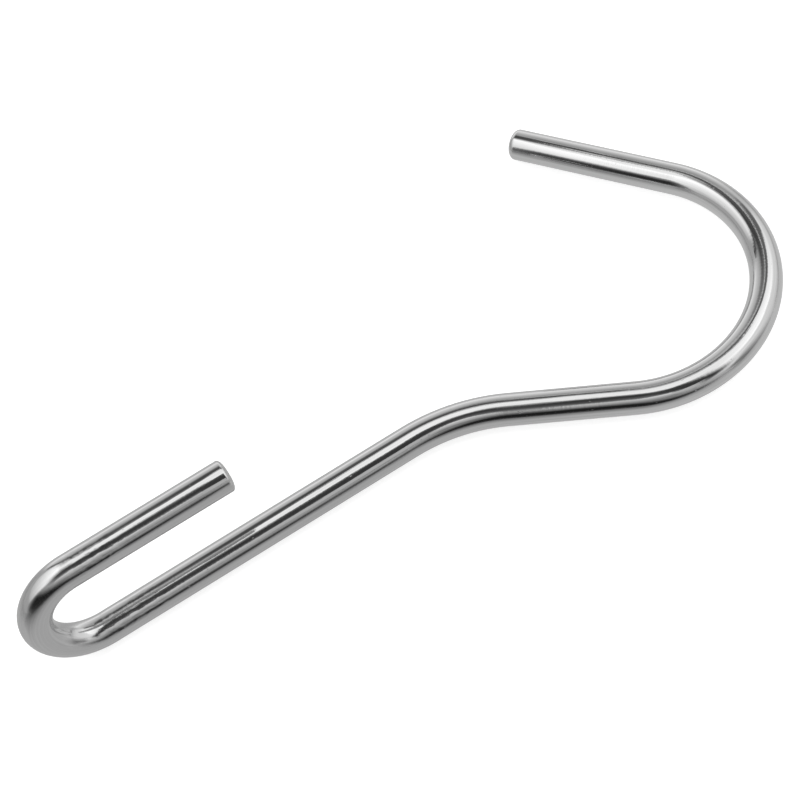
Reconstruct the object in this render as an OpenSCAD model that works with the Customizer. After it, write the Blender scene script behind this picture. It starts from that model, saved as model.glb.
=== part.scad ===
// S hook for a pot rail, bent from one length of round stainless steel wire.
//
// It is drawn as it lies on a table. The wide rail hook lies flat, the stem runs
// along X, and the narrow load hook stands up at the stem's other end, so the two
// hooks are turned about a quarter turn from each other. The origin is on the
// table, under the middle of the hook's bounding box.

/* [Wire] */
// Diameter of the wire
wire_d = 3.5; // [2.5:0.1:5]
// Radius of the rounded edge at both cut ends
edge_r = 0.4; // [0.1:0.05:0.8]

/* [Rail hook] */
// Clear width inside the rail bend
rail_gap = 25.5; // [16:0.5:40]
// Angle that the rail bend turns through
rail_sweep = 157; // [140:0.5:175]
// Straight length between the rail bend and its cut end
tip_len = 18.8; // [6:0.1:30]

/* [Neck] */
// Straight length between the neck and the rail bend
throat_len = 13.4; // [4:0.1:30]
// Radius inside the neck, the bend that sets the rail hook off to one side
neck_inside_r = 18.5; // [8:0.5:30]
// Angle that the neck turns through
neck_sweep = 31; // [15:0.5:50]
// Straight length of the stem
stem_len = 36.1; // [15:0.1:80]

/* [Load hook] */
// Clear width inside the load bend
load_gap = 7.8; // [5:0.1:16]
// Angle that the load bend turns through
load_sweep = 180; // [160:1:185]
// Straight length between the load bend and its cut end
leg_len = 18; // [6:0.1:30]
// Angle between the planes of the two hooks
twist = 85; // [60:1:120]

/* [Hidden] */
$fn = 60;

// Each straight stretch laps this far into its neighbours, so that they join at any
// size and angle
lap = 0.000001;

// The wire is drawn at a hundredth of its size, then scaled up. At that scale the lap,
// and what rounding leaves between two stretches, is too little to part or step them
draw_scale = 0.01;

wire_r = wire_d / 2;

// Radii of the bends, along the middle of the wire
rail_r = rail_gap / 2 + wire_r;
neck_r = neck_inside_r + wire_r;
load_r = load_gap / 2 + wire_r;

// Middle of the rail bend, from the start of the stem
neck_end = [stem_len + neck_r * sin(neck_sweep), -neck_r * (1 - cos(neck_sweep))];
throat_end = neck_end + throat_len * [cos(neck_sweep), -sin(neck_sweep)];
rail_middle = throat_end + rail_r * [sin(neck_sweep), cos(neck_sweep)];

// Furthest point of the rounded tip along Y
tip_dir = rail_sweep - neck_sweep;
tip_y = rail_middle.y - rail_r * cos(tip_dir) + tip_len * sin(tip_dir);
tip_edge_y = tip_y + wire_r * abs(cos(tip_dir)) - edge_r * (sin(tip_dir) + abs(cos(tip_dir)) - 1);

// End of the load hook's leg along Y
leg_y = (load_r * (1 - cos(load_sweep)) + leg_len * sin(load_sweep)) * cos(twist);

// Point under the middle of the bounding box, from the start of the stem
x_low = -load_r - wire_r;
x_high = rail_middle.x + rail_r + wire_r;
y_low = min(rail_middle.y - rail_r, leg_y) - wire_r;
y_high = max(tip_edge_y, leg_y + wire_r);
foot = [(x_low + x_high) / 2, (y_low + y_high) / 2, -wire_r];

// Straight wire along X; what follows goes on from its far end
module feed(len) {
    rotate([0, 90, 0])
        scale(draw_scale)
            translate([0, 0, -lap])
                cylinder(d = wire_d, h = len + 2 * lap);
    translate([len * draw_scale, 0, 0])
        children();
}

// Turns what follows about the wire, which runs along X
module roll(angle) {
    rotate([angle, 0, 0])
        children();
}

// Wire that starts along X and bends to the left in the XY plane; what follows goes
// on from its far end
module bend(r, sweep) {
    translate([0, r * draw_scale, 0]) {
        rotate([0, 0, -90])
            scale(draw_scale)
                rotate_extrude(angle = sweep)
                    translate([r, 0])
                        circle(d = wire_d);
        rotate([0, 0, sweep])
            translate([0, -r * draw_scale, 0])
                children();
    }
}

// Straight wire to a free end, which is cut square and has a rounded edge
module free_end(len) {
    feed(len - edge_r)
        rotate([0, 90, 0])
            scale(draw_scale)
                rotate_extrude() {
                    square([wire_r - edge_r, edge_r]);
                    translate([wire_r - edge_r, 0])
                        intersection() {
                            circle(r = edge_r);
                            square(edge_r);
                        }
                }
}

// Stem, neck and rail hook, one after the other in the XY plane
module rail_hook() {
    feed(stem_len)
        roll(180)
            bend(neck_r, neck_sweep)
                feed(throat_len)
                    roll(180)
                        bend(rail_r, rail_sweep)
                            free_end(tip_len);
}

// Load hook, which leaves the start of the stem and comes back over it
module load_hook() {
    rotate([0, 0, 180])
        roll(180 - twist)
            bend(load_r, load_sweep)
                free_end(leg_len);
}

module s_hook() {
    color("silver")
        translate(-foot)
            scale(1 / draw_scale) {
                rail_hook();
                load_hook();
            }
}

s_hook();
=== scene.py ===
# %% [markdown]
# # An S hook for a pot rail
#
# The hook is one length of bright stainless steel wire. It was drawn through a die,
# cropped at both ends, tumbled so that the cut edges are no longer sharp, and bent cold
# in a wire former: a wide bend for the rail, a slight neck, and a narrow bend for the
# load, turned about a quarter turn from the first.
#
# A curve with a round bevel would be the quicker way to draw a wire, but its ends are
# flat, and it doesn't keep where each point was before the wire was bent. So the mesh
# follows the former's own route. A ring of points as wide as the wire is pushed on,
# rolled and swung round, and leaves a skin behind it that is equally thick everywhere.

import math

import bmesh
import bpy
from mathutils import Euler, Matrix, Vector


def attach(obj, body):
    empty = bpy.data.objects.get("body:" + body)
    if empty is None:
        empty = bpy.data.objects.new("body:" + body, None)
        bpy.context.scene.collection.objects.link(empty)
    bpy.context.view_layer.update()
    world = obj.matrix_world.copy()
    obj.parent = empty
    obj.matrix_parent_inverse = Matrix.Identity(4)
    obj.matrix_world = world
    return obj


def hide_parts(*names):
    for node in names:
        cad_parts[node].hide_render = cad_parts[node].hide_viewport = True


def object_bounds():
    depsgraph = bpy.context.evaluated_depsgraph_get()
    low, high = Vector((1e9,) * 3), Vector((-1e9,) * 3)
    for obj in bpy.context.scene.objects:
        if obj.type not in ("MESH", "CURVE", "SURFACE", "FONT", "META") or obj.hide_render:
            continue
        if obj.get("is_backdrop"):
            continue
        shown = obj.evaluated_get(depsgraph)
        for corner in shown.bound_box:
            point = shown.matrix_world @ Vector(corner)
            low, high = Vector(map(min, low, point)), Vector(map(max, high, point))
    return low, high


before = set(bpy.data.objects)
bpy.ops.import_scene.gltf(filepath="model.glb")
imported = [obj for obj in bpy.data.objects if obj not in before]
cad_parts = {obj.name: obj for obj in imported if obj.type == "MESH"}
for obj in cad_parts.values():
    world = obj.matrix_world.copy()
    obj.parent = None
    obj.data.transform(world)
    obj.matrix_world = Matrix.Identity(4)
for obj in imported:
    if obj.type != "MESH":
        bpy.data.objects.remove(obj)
cad_low, cad_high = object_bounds()
print("the packed part, in mm:", [round(x * 1000, 2) for x in (*cad_low, *cad_high)])

# %% [markdown]
# ## Sizes
#
# Lengths are in metres and angles in degrees. The wire's diameter and the lengths and
# bends along it are those of the part's own source. A bend's radius is measured to the
# middle of the wire, as on a wire former.

# %% Sizes of the hook
MM = 0.001

WIRE_R = 3.5 * MM / 2

RAIL_R = 25.5 * MM / 2 + WIRE_R
RAIL_SWEEP = 157
TIP_LEN = 18.8 * MM

THROAT_LEN = 13.4 * MM
NECK_R = 18.5 * MM + WIRE_R
NECK_SWEEP = 31
STEM_LEN = 36.1 * MM

LOAD_R = 7.8 * MM / 2 + WIRE_R
LOAD_SWEEP = 180
LEG_LEN = 18 * MM
TWIST = 85

in_straights = TIP_LEN + THROAT_LEN + STEM_LEN + LEG_LEN
sweeps = [(RAIL_R, RAIL_SWEEP), (NECK_R, NECK_SWEEP), (LOAD_R, LOAD_SWEEP)]
in_bends = sum(radius * math.radians(sweep) for radius, sweep in sweeps)
print("length of the wire, in mm:", round((in_straights + in_bends) / MM, 1))

# %% [markdown]
# ## Moves of the wire former
#
# A place on the wire is a matrix whose X axis runs along the wire. Each move is a small
# matrix in that place, so moves can be strung together in the order in which the wire
# meets the tools.


# %% Feed, roll and swing
def feed(length):
    """Straight on along the wire."""
    return Matrix.Translation((length, 0, 0))


def roll(angle):
    """A turn about the wire itself, which changes the plane of the next bend."""
    return Matrix.Rotation(math.radians(angle), 4, "X")


def swing(radius, angle):
    """A bend to the left, about a former whose middle is a radius away."""
    middle = Matrix.Translation((0, radius, 0))
    return middle @ Matrix.Rotation(math.radians(angle), 4, "Z") @ middle.inverted()


beside = swing(LOAD_R, LOAD_SWEEP).translation.length
print("the load bend comes back beside its start, in mm:", round(beside / MM, 1))

# %% [markdown]
# ## The first ring
#
# Draw marks and polishing lines were on the wire before it was bent, and they follow it
# round every bend. So each point of the skin also keeps where it was on the straight
# wire, in an attribute named `unbent` that the finish reads. Along the straight wire, X
# is positive on the rail's side of this ring and negative on the load's side.

# %% A ring where the stem starts
RING_POINTS = 64

skin = bmesh.new()
unbent = skin.verts.layers.float_vector.new("unbent")
across_x = Matrix.Rotation(math.pi / 2, 4, "Y")
ring = bmesh.ops.create_circle(skin, segments=RING_POINTS, radius=WIRE_R, matrix=across_x)
for point in ring["verts"]:
    point[unbent] = point.co
first_rim = list(skin.edges)
print("points in the first ring:", len(ring["verts"]))

# %% [markdown]
# ## Growing the skin
#
# Extruding the edges of a ring gives a copy of the ring, joined to it by a band of faces.
# The copy is then moved to the next place. A straight stretch needs few rings. A bend
# has one every few degrees, so that the bands of light on it have no corners.

# %% Straight and bent wire
STRAIGHT_STEP = 3 * MM
BEND_STEP = 2.5


def grow(rim, place, step, count, length):
    """Pushes a rim on, count times by a step. Returns the new rim and its place."""
    for _ in range(count):
        made = bmesh.ops.extrude_edge_only(skin, edges=rim)["geom"]
        points = [part for part in made if isinstance(part, bmesh.types.BMVert)]
        edges = [part for part in made if isinstance(part, bmesh.types.BMEdge)]
        rim = [edge for edge in edges if all(end in points for end in edge.verts)]
        move = place @ step @ place.inverted()
        bmesh.ops.transform(skin, matrix=move, verts=points)
        for point in points:
            point[unbent] += Vector((length / count, 0, 0))
        place = place @ step
    return rim, place


def straight(rim, place, length, way=1):
    count = max(1, round(length / STRAIGHT_STEP))
    return grow(rim, place, feed(length / count), count, way * length)


def bent(rim, place, radius, angle, way=1):
    count = math.ceil(angle / BEND_STEP)
    length = way * radius * math.radians(angle)
    return grow(rim, place, swing(radius, angle / count), count, length)


print("rings in the rail bend:", math.ceil(RAIL_SWEEP / BEND_STEP))

# %% [markdown]
# ## Cropped ends
#
# Tumbling takes the burr off a cropped end, rounds its edge and wears the cut down
# towards that edge. What is left lies between a flat cut and a dome, and the tip is worn
# more than the leg. A bevel would round the edge alone and leave the cut flat. So the
# rings at each end follow the whole section: they start a little before the cut and get
# smaller towards its middle.

# %% A worn end
WEAR_START = 0.4 * MM
TIP_DOME = 0.86 * MM
LEG_DOME = 0.53 * MM
DOME_RINGS = 12
DOME_FULLNESS = 2 / 3


def free_end(rim, place, length, dome, way=1):
    """Straight wire and a dome on it. Returns the small face in the dome's middle."""
    rim, place = straight(rim, place, length - WEAR_START, way)
    radius, depth = 1.0, 0.0
    for ring_number in range(1, DOME_RINGS + 1):
        # Half a ring is left out, which keeps the last ring open for the middle face
        turn = math.radians(90) * ring_number / (DOME_RINGS + 0.5)
        new_radius = math.cos(turn) ** DOME_FULLNESS
        new_depth = math.sin(turn) * dome
        shrink = new_radius / radius
        on = new_depth - depth
        step = feed(on) @ Matrix.Diagonal((1, shrink, shrink, 1))
        rim, _ = grow(rim, place, step, 1, way * on)
        place = place @ feed(on)
        radius, depth = new_radius, new_depth
    return bmesh.ops.edgeloop_fill(skin, edges=rim)["faces"][0]


past_cut = [round((dome - WEAR_START) / MM, 2) for dome in (TIP_DOME, LEG_DOME)]
print("the tip and the leg stand past a flat cut, in mm, by:", past_cut)

# %% [markdown]
# ## The route
#
# The rail hook and the neck bend to opposite sides in one plane, so the wire is rolled by
# half a turn before each. The load hook leaves the first ring the other way, rolled by
# the twist between the two hooks.

# %% Stem, neck and rail hook
stem_start = Matrix.Identity(4)

rim, place = straight(first_rim, stem_start, STEM_LEN)
rim, place = bent(rim, place @ roll(180), NECK_R, NECK_SWEEP)
rim, place = straight(rim, place, THROAT_LEN)
rim, place = bent(rim, place @ roll(180), RAIL_R, RAIL_SWEEP)
tip_cut = free_end(rim, place, TIP_LEN, TIP_DOME)
print("rings up to the tip:", len(skin.verts) // RING_POINTS)

# %% Load hook
turn_back = Matrix.Rotation(math.pi, 4, "Z")

place = stem_start @ turn_back @ roll(180 - TWIST)
rim, place = bent(first_rim, place, LOAD_R, LOAD_SWEEP, way=-1)
leg_cut = free_end(rim, place, LEG_LEN, LEG_DOME, way=-1)
print("rings along the whole wire:", len(skin.verts) // RING_POINTS)

# %% [markdown]
# ## Faces of the cuts
#
# The middle of each cut keeps its own, duller finish. It is picked by its distance from
# the middle of the cut, and by facing the same way as the small face there.

# %% Which faces are cut
CUT_SHARE = 0.62
CUT_FACING = 0.7

bmesh.ops.recalc_face_normals(skin, faces=skin.faces)
cuts = [(cut.calc_center_median(), cut.normal.copy()) for cut in (tip_cut, leg_cut)]
for face in skin.faces:
    face.smooth = True
    at = face.calc_center_median()
    on_cut = any(
        (at - middle).length < CUT_SHARE * WIRE_R and abs(face.normal.dot(out)) > CUT_FACING
        for middle, out in cuts
    )
    face.material_index = int(on_cut)
print("faces on the cuts:", sum(face.material_index for face in skin.faces))

# %% [markdown]
# ## Place in the part's frame
#
# The wire has grown from the start of the stem, and the frame's origin is on the table
# under the middle of the hook. So the low corner of the wire's bounding box is moved to
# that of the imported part. The two boxes differ at the high corner alone, because the
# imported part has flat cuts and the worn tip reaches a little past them.

# %% Lay the hook down
low = Vector([min(point.co[axis] for point in skin.verts) for axis in range(3)])
bmesh.ops.translate(skin, vec=Vector(cad_low) - low, verts=skin.verts)

hook_mesh = bpy.data.meshes.new("hook_wire")
skin.to_mesh(hook_mesh)
open_edges = sum(not edge.is_manifold for edge in skin.edges)
skin.free()
hook = bpy.data.objects.new("hook_wire", hook_mesh)
bpy.context.scene.collection.objects.link(hook)
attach(hook, "root")
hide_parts("s_hook")
print("faces:", len(hook_mesh.polygons), "open edges:", open_edges)

# %% [markdown]
# ## Helpers for finishes
#
# Colours are written as sRGB hex values, the way a colour picker gives them, and turned
# into the linear values that the renderer works in. A finish is a tree of nodes, and one
# helper adds each node together with its values, settings and links.


# %% Colour and node helpers
def linear(hex_colour):
    """An sRGB hex colour as linear red, green, blue and alpha."""
    parts = [int(hex_colour[i : i + 2], 16) / 255 for i in (1, 3, 5)]
    return [p / 12.92 if p <= 0.04045 else ((p + 0.055) / 1.055) ** 2.4 for p in parts] + [1]


def new_material(name):
    """A material without nodes, its tree and its output."""
    material = bpy.data.materials.new(name)
    material.use_nodes = True
    material.node_tree.nodes.clear()
    output = material.node_tree.nodes.new("ShaderNodeOutputMaterial")
    return material, material.node_tree, output


def add(tree, kind, inputs, **settings):
    """Adds a node. Each input, by name or number, gets a value or a link from a socket."""
    node = tree.nodes.new("ShaderNode" + kind)
    for key, value in settings.items():
        setattr(node, key, value)
    for key, value in inputs.items():
        if isinstance(value, bpy.types.NodeSocket):
            tree.links.new(value, node.inputs[key])
        else:
            node.inputs[key].default_value = value
    return node


print("the middle grey #808080 is, linear:", round(linear("#808080")[0], 3))

# %% [markdown]
# ## Marks on the wire
#
# The wire has faint waves and draw lines along it, tiny nicks all over, and dents near
# both ends of the tight load bend, where the jaws of the former held it. They could be
# painted on an unwrapped image, but that has a seam and one fixed sharpness. Noise has
# neither. It is read on the straight wire, by way of the `unbent` attribute, so all
# sizes here are real millimetres. Nicks are dots round the middles of Voronoi cells.

# %% Grain, dents and nicks
DENT_LENGTH, DENT_WIDTH = 1.8 * MM, 0.8 * MM
NICK_SPACING = (1.8 * MM, 0.6 * MM, 0.6 * MM)

# Shares of the spacing, from the middle of a nick
NICK_CORE, NICK_EDGE = 0.02, 0.10

# Middle and half length of each stretch that the jaws held, along the straight wire
GRIP_MARKS = [(-20.5 * MM, 3.5 * MM), (3 * MM, 5 * MM)]


def grain(tree, place, along, across, detail=0):
    """Noise whose grains are along by across in size, on the straight wire."""
    scale = (1 / along, 1 / across, 1 / across)
    spread = add(tree, "Mapping", {"Vector": place, "Scale": scale})
    noise = {"Vector": spread.outputs[0], "Scale": 1, "Detail": detail}
    return add(tree, "TexNoise", noise).outputs["Fac"]


def near(tree, along, middle, half):
    """1 around a place on the straight wire, and 0 from half a length away."""
    way = add(tree, "Math", {0: along, 1: middle}, operation="SUBTRACT").outputs[0]
    off = add(tree, "Math", {0: way}, operation="ABSOLUTE").outputs[0]
    fade = {"Value": off, "From Min": half, "From Max": half / 2}
    return add(tree, "MapRange", fade, interpolation_type="SMOOTHSTEP").outputs[0]


def grip_marks(tree, place, along):
    """Dents from the former's jaws, near where the load bend starts and ends."""
    dents = grain(tree, place, DENT_LENGTH, DENT_WIDTH, detail=2)
    marks = [
        add(tree, "Math", {0: dents, 1: near(tree, along, *where)}, operation="MULTIPLY")
        for where in GRIP_MARKS
    ]
    both = {0: marks[0].outputs[0], 1: marks[1].outputs[0]}
    return add(tree, "Math", both, operation="ADD").outputs[0]


def nicks(tree, place):
    """Tiny pits, a tenth of a millimetre across and three times as long."""
    scale = [1 / spacing for spacing in NICK_SPACING]
    spread = add(tree, "Mapping", {"Vector": place, "Scale": scale}).outputs[0]
    cells = add(tree, "TexVoronoi", {"Vector": spread, "Scale": 1}).outputs["Distance"]
    pit = {"Value": cells, "From Min": NICK_CORE, "From Max": NICK_EDGE}
    return add(tree, "MapRange", pit, interpolation_type="SMOOTHSTEP").outputs[0]


print("grip marks, in mm along the wire:", [round(at / MM, 1) for at, _ in GRIP_MARKS])

# %% [markdown]
# ## Stainless steel, drawn and polished
#
# Stainless wire comes off the die bright, and mirrors its surroundings in sharp bands.
# Its draw lines are a few hundredths of a millimetre apart, too fine for the render, so
# they are drawn 0.14 mm apart: they give the edges of the bands a slight raggedness. The
# former leaves the wire a little wavy along its length, which makes the bands wander.
# Tumbling dulls it unevenly, and the stretched skin of the tight bend is duller still.
#
# Grooves and waves could be modelled as well, but none is deep enough to show on the
# outline. A bump only tilts the mirrored light, and needs no more faces.

# %% Finish of the wire
BRIGHT_STEEL = "#DADADA"
DULL_STEEL = "#CFCFCF"
STREAK_FROM, STREAK_TO = 0.3, 0.7
POLISHED, SMUDGED = 0.04, 0.10
STRAIN_DULLING = 0.06
STRAIN_REACH = 0.75

WAVE_DEPTH = 0.012 * MM
GRIP_DEPTH = 0.04 * MM
NICK_DEPTH = 0.006 * MM
RIPPLE_DEPTH = 0.0036 * MM
LINE_DEPTH = 0.0034 * MM


def drawn_wire():
    material, tree, output = new_material("Stainless steel, drawn and polished")
    place = add(tree, "Attribute", {}, attribute_name="unbent").outputs["Vector"]
    along = add(tree, "SeparateXYZ", {"Vector": place}).outputs["X"]

    marks = [
        (grain(tree, place, 6 * MM, 2.5 * MM), WAVE_DEPTH),
        (grip_marks(tree, place, along), GRIP_DEPTH),
        (nicks(tree, place), NICK_DEPTH),
        (grain(tree, place, 0.35 * MM, 0.9 * MM, detail=1), RIPPLE_DEPTH),
        (grain(tree, place, 5 * MM, 0.14 * MM, detail=2), LINE_DEPTH),
    ]
    relief = {}
    for height, depth in marks:
        bump = {"Height": height, "Strength": 1, "Distance": depth, **relief}
        relief = {"Normal": add(tree, "Bump", bump).outputs["Normal"]}

    smudges = grain(tree, place, 4 * MM, 1.5 * MM, detail=3)
    dullness = {"Value": smudges, "To Min": POLISHED, "To Max": SMUDGED}
    dullness = add(tree, "MapRange", dullness).outputs[0]
    load_length = LOAD_R * math.radians(LOAD_SWEEP)
    strained = near(tree, along, -load_length / 2, load_length * STRAIN_REACH)
    rough = {0: strained, 1: STRAIN_DULLING, 2: dullness}

    streaks = grain(tree, place, 14 * MM, 0.22 * MM, detail=3)
    shade = {"Value": streaks, "From Min": STREAK_FROM, "From Max": STREAK_TO}
    shade = add(tree, "MapRange", shade).outputs[0]
    colour = {0: shade, 6: linear(DULL_STEEL), 7: linear(BRIGHT_STEEL)}
    steel = {
        "Base Color": add(tree, "Mix", colour, data_type="RGBA").outputs[2],
        "Metallic": 1,
        "Roughness": add(tree, "Math", rough, operation="MULTIPLY_ADD").outputs[0],
        **relief,
    }
    shader = add(tree, "BsdfPrincipled", steel)
    tree.links.new(shader.outputs[0], output.inputs["Surface"])
    return material


hook_mesh.materials.append(drawn_wire())
print("nodes in the finish of the wire:", len(hook_mesh.materials[0].node_tree.nodes))

# %% [markdown]
# ## Stainless steel, cropped and tumbled
#
# The cutter shears half of the section and tears the rest, so the flat of the cut is
# slightly mottled. Tumbling leaves it duller than the wire: it has a soft sheen and
# mirrors nothing sharply. A mask in the wire's own finish could do this, but the faces
# of the cuts are known already, so a second finish is simpler.

# %% Finish of the cuts
CROPPED_ROUGHNESS = 0.38
TEAR_DEPTH = 0.012 * MM


def cropped_steel():
    material, tree, output = new_material("Stainless steel, cropped and tumbled")
    place = add(tree, "Attribute", {}, attribute_name="unbent").outputs["Vector"]
    tears = grain(tree, place, 1 * MM, 0.25 * MM, detail=3)
    bump = add(tree, "Bump", {"Height": tears, "Strength": 1, "Distance": TEAR_DEPTH})
    steel = {
        "Base Color": linear(DULL_STEEL),
        "Metallic": 1,
        "Roughness": CROPPED_ROUGHNESS,
        "Normal": bump.outputs["Normal"],
    }
    shader = add(tree, "BsdfPrincipled", steel)
    tree.links.new(shader.outputs[0], output.inputs["Surface"])
    return material


hook_mesh.materials.append(cropped_steel())
print("finishes:", [material.name for material in hook_mesh.materials])

# %% [markdown]
# ## The set
#
# Polished wire shows only what stands round it, so most of the look is made here. The
# hook lies on a white table between two large softboxes, left and right of the camera.
# Black cards stand for what a product photographer keeps dark: the room behind the
# camera, the camera and its stand, and the gaps beside the softboxes. They give the
# wire its dark lines, without which it would look like plaster.
#
# A picture of a studio round the scene could light it too, but with plain cards each
# band on the wire can be placed by itself. Between the cards, the camera sees the room
# as white, and the wire mirrors it as it is, pale grey.

# %% Room
ROOM_GREY = 0.48
ROOM_SEEN = 1


def set_room():
    world = bpy.data.worlds.new("Pale room")
    bpy.context.scene.world = world
    world.use_nodes = True
    tree = world.node_tree
    tree.nodes.clear()
    eye = add(tree, "LightPath", {}).outputs["Is Camera Ray"]
    strength = add(tree, "MapRange", {"Value": eye, "To Min": ROOM_GREY, "To Max": ROOM_SEEN})
    light = add(tree, "Background", {"Color": (1, 1, 1, 1), "Strength": strength.outputs[0]})
    output = tree.nodes.new("ShaderNodeOutputWorld")
    tree.links.new(light.outputs[0], output.inputs["Surface"])


set_room()
print("world:", bpy.context.scene.world.name)

# %% [markdown]
# ## Table
#
# The table is white acrylic. One plain white finish would be simpler, but the picture is
# exposed for a white ground, and the wire mirrors a greyer one. So a light path node
# parts the two. The camera sees a diffuse sheet, on which the hook's shadow falls,
# lifted to white. The wire mirrors a glow painted on the table instead: pale grey, and
# painted brighter on the side of the right lamp, as that lamp's light would fall.
# Seen nearly edge on, acrylic is glossy and mirrors the room in its turn, which is why
# the wire has a dark line where the table meets the room.

# %% White acrylic
ACRYLIC = "#E4E4E4"
SEEN_LIFT = 0.70
# Painted light for the wire: the table's glow, painted shade on one side and brighter towards
# the right lamp
PAINTED_TABLE_SHADE, PAINTED_TABLE_GLOW = 0.51, 0.66
GLOW_START, GLOW_END = -10 * MM, 45 * MM
GLOSS_FADE = 3
GLOSS_ROUGHNESS = 0.1


def white_acrylic():
    material, tree, output = new_material("White acrylic")
    diffuse = add(tree, "BsdfDiffuse", {"Color": linear(ACRYLIC)})
    lift = add(tree, "Emission", {"Strength": SEEN_LIFT})
    seen = add(tree, "AddShader", {0: diffuse.outputs[0], 1: lift.outputs[0]})

    place = add(tree, "TexCoord", {}).outputs["Object"]
    to_lamp = {
        "Value": add(tree, "SeparateXYZ", {"Vector": place}).outputs["X"],
        "From Min": GLOW_START,
        "From Max": GLOW_END,
        "To Min": PAINTED_TABLE_SHADE,
        "To Max": PAINTED_TABLE_GLOW,
    }
    # Painted light: for the wire the table glows, from painted shade to a painted glow
    # towards the right lamp
    body = add(tree, "Emission", {"Strength": add(tree, "MapRange", to_lamp).outputs[0]})
    gloss = add(tree, "BsdfGlossy", {"Roughness": GLOSS_ROUGHNESS})
    edge_on = add(tree, "LayerWeight", {"Blend": 0.5}).outputs["Facing"]
    share = add(tree, "Math", {0: edge_on, 1: GLOSS_FADE}, operation="POWER").outputs[0]
    mirrored = add(tree, "MixShader", {0: share, 1: body.outputs[0], 2: gloss.outputs[0]})

    in_metal = add(tree, "LightPath", {}).outputs["Is Glossy Ray"]
    either = {0: in_metal, 1: seen.outputs[0], 2: mirrored.outputs[0]}
    both = add(tree, "MixShader", either)
    tree.links.new(both.outputs[0], output.inputs["Surface"])
    return material


acrylic = white_acrylic()
print("nodes in the finish of the table:", len(acrylic.node_tree.nodes))

# %% [markdown]
# ## Sheets
#
# The table and the cards are all flat rectangles, so one helper makes them. The table
# is no larger than what the lamps keep white, so its far edge doesn't show in low views.
# It lies a hair below the hook, because two surfaces that touch along a line can show
# through one another.

# %% Table
TABLE_SIZE = 1.0
TABLE_GAP = 0.02 * MM


def sheet(name, width, height, material):
    """A flat rectangle in its own XY plane, which belongs to the set."""
    flat = bmesh.new()
    bmesh.ops.create_grid(flat, x_segments=1, y_segments=1, size=0.5)
    bmesh.ops.scale(flat, vec=(width, height, 1), verts=flat.verts)
    mesh = bpy.data.meshes.new(name)
    flat.to_mesh(mesh)
    flat.free()
    mesh.materials.append(material)
    made = bpy.data.objects.new(name, mesh)
    bpy.context.scene.collection.objects.link(made)
    made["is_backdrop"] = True
    return made


table = sheet("table", TABLE_SIZE, TABLE_SIZE, acrylic)
table.location.z = -TABLE_GAP
print("table, in mm:", [round(x / MM) for x in table.dimensions])

# %% [markdown]
# ## Light with soft edges
#
# A softbox fades towards its frame, and dark things far from the hook have no sharp
# edge in the curve of the wire. An area light can't be shaped like that, so each card is
# a sheet that glows in its middle and turns clear at its edges. The shader works in
# angles as seen from the hook, because they set how wide a band on the wire gets.

# %% Finish of a card
CARD_DISTANCE = 0.72


def glow(name, distance, width, height, soft, top, bottom):
    """Light between two levels from the top edge to the bottom one, with soft edges."""
    material, tree, output = new_material(name)
    place = add(tree, "TexCoord", {}).outputs["Object"]
    axes = add(tree, "SeparateXYZ", {"Vector": place}).outputs
    cover, angles = [], []
    for axis, size in (("X", width), ("Y", height)):
        slope = add(tree, "Math", {0: axes[axis], 1: distance}, operation="DIVIDE")
        angle = add(tree, "Math", {0: slope.outputs[0]}, operation="ARCTANGENT").outputs[0]
        out = add(tree, "Math", {0: angle}, operation="ABSOLUTE").outputs[0]
        edge = {
            "Value": out,
            "From Min": math.radians(size + soft) / 2,
            "From Max": math.radians(size - soft) / 2,
        }
        ramp = add(tree, "MapRange", edge, interpolation_type="SMOOTHSTEP")
        cover.append(ramp.outputs[0])
        angles.append(angle)
    mask = add(tree, "Math", {0: cover[0], 1: cover[1]}, operation="MULTIPLY").outputs[0]
    half = math.radians(height) / 2
    fade = {
        "Value": angles[1],
        "From Min": -half,
        "From Max": half,
        "To Min": bottom,
        "To Max": top,
    }
    light = add(tree, "Emission", {"Strength": add(tree, "MapRange", fade).outputs[0]})
    clear = add(tree, "BsdfTransparent", {})
    mix = add(tree, "MixShader", {0: mask, 1: clear.outputs[0], 2: light.outputs[0]})
    tree.links.new(mix.outputs[0], output.inputs["Surface"])
    return material


print("a degree on a card, in mm:", round(CARD_DISTANCE * math.radians(1) / MM, 1))

# %% [markdown]
# ## Softboxes and black cards
#
# Each card stands square to the line from the hook to its middle. That line is given as
# an angle round the table from +X and an angle above the table. A later card stands a
# little nearer, so that it covers the ones before it. The camera sees none of them.

# %% Cards round the table
CARD_SPACING = 2 * MM

CARDS = {
    # name: around, above, width, height, lean, soft edge, light at the top and bottom
    "softbox_right": (-17, 38, 90, 71, 3, 24, 1.10, 0.85),
    "lamp_right": (-14, 45, 42, 42, 0, 40, 1.45, 1.45),
    "softbox_left": (156, 51, 62, 69, -4, 9, 1.80, 0.60),
    "back_wall": (72, 25, 74, 52, 2, 14, 0.30, 1.20),
    "ceiling": (40, 79, 127, 38, 39, 1.5, 1.25, 1.15),
    "dark_back": (86, 59, 24, 26, 28, 18, 0.13, 0.03),
    "dark_edge_left": (106, 43, 4.5, 43, 18, 4.5, 0.17, 0.01),
    "dark_edge_right": (37, 47, 9, 30, -24, 3.5, 0.12, 0.19),
    "dark_edge_top": (56, 66, 30, 7, 1, 2, 1.00, 0.02),
    "dark_room": (-122, 4, 101, 44, -22, 28, 0.00, 0.04),
    "dark_front": (-40, 7, 38, 28, -45, 10, 0.85, 0.10),
    "pale_front": (-100, 38, 38, 28, -10, 1.5, 0.90, 0.20),
    "dark_camera": (-76, 51, 24, 45, 16, 14, 0.05, 0.05),
    "dark_arm": (-128, 66, 27, 37, -22, 23, 0.01, 0.12),
    "dark_stand": (-84, 35, 14, 24, 0, 11, 0.65, 0.55),
    "dark_gap": (59, 57, 23, 5, -14, 3, 0.04, 0.15),
    "bright_gap": (61, 50, 2.5, 15, 31, 2.5, 0.60, 0.65),
}


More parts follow.
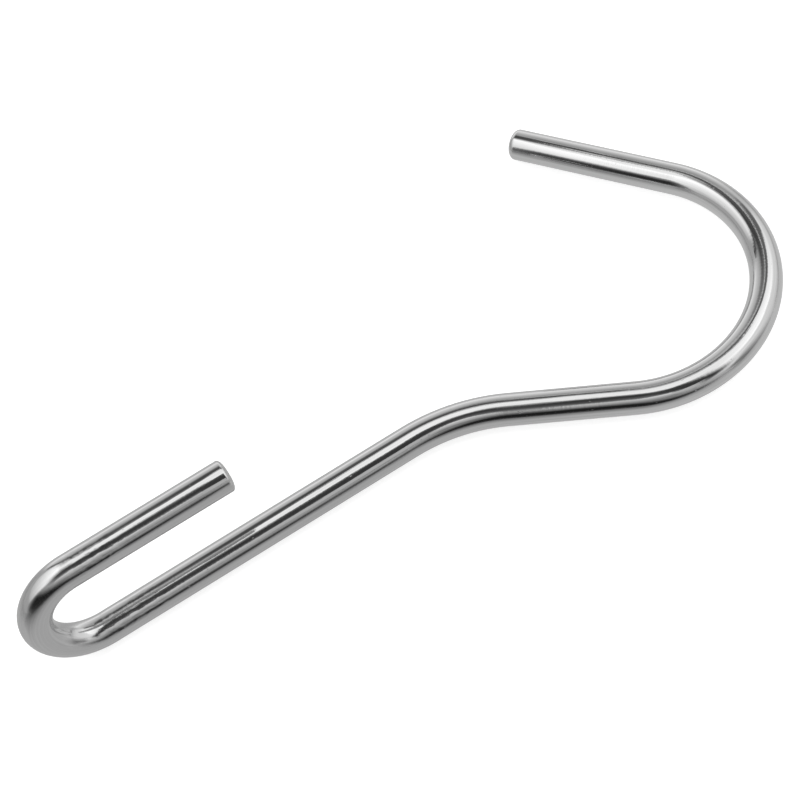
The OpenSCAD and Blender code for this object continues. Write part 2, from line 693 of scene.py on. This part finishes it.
def place_card(name, order, around, above, width, height, lean, soft, top, bottom):
    """A card in its place, large enough for its soft edges, with its own light."""
    distance = CARD_DISTANCE - order * CARD_SPACING
    halves = [math.radians(angle + soft) / 2 for angle in (width, height)]
    size = [2 * distance * math.tan(half) for half in halves]
    light = glow(name, distance, width, height, soft, top, bottom)
    card = sheet(name, *size, light)
    turn, rise = math.radians(around), math.radians(above)
    flat = math.cos(rise)
    way = Vector((math.cos(turn) * flat, math.sin(turn) * flat, math.sin(rise)))
    facing = way.to_track_quat("Z", "Y").to_matrix().to_4x4()
    tilt = Matrix.Rotation(math.radians(lean), 4, "Z")
    card.matrix_world = Matrix.Translation(way * distance) @ facing @ tilt
    card.visible_camera = False


for order, (name, values) in enumerate(CARDS.items()):
    place_card(name, order, *values)
print("cards:", len(CARDS))

# %% [markdown]
# ## Camera
#
# The camera looks down on the hook from close by with a long lens, rolled a little, so
# that the stem climbs from the lower left. The small shift puts its axis through the
# middle of a pixel, half a pixel from the middle of the picture.

# %% Camera
EYE = Vector((-25.98, -106.32, 167.35)) * MM
EYE_AROUND = -104.402
EYE_ABOVE = 56.93
ROLL = 19.251
LENS = 84.078
SENSOR = 36
HALF_PIXEL = 0.5 / 800

camera_data = bpy.data.cameras.new("camera")
camera_data.lens = LENS
camera_data.sensor_width = SENSOR
camera_data.clip_start = 10 * MM
camera_data.shift_x = -HALF_PIXEL
camera_data.shift_y = HALF_PIXEL
camera = bpy.data.objects.new("camera", camera_data)
camera.location = EYE
look_down = math.radians(90 - EYE_ABOVE)
look_round = math.radians(EYE_AROUND + 90)
level = Euler((look_down, 0, look_round)).to_matrix()
camera.rotation_euler = (level @ Matrix.Rotation(math.radians(-ROLL), 3, "Z")).to_euler()
bpy.context.scene.collection.objects.link(camera)
bpy.context.scene.camera = camera
bpy.context.scene.view_settings.view_transform = "Standard"
print("from the middle of the table to the camera, in mm:", round(EYE.length / MM))

# %% [markdown]
# ## Size
#
# The box round the shown hook is measured once more and kept beside the imported part's.
# The two agree, apart from the worn tip.

# %% Measure the shown hook
low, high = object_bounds()
print("the shown hook, in mm:", [round(x * 1000, 2) for x in (*low, *high)])
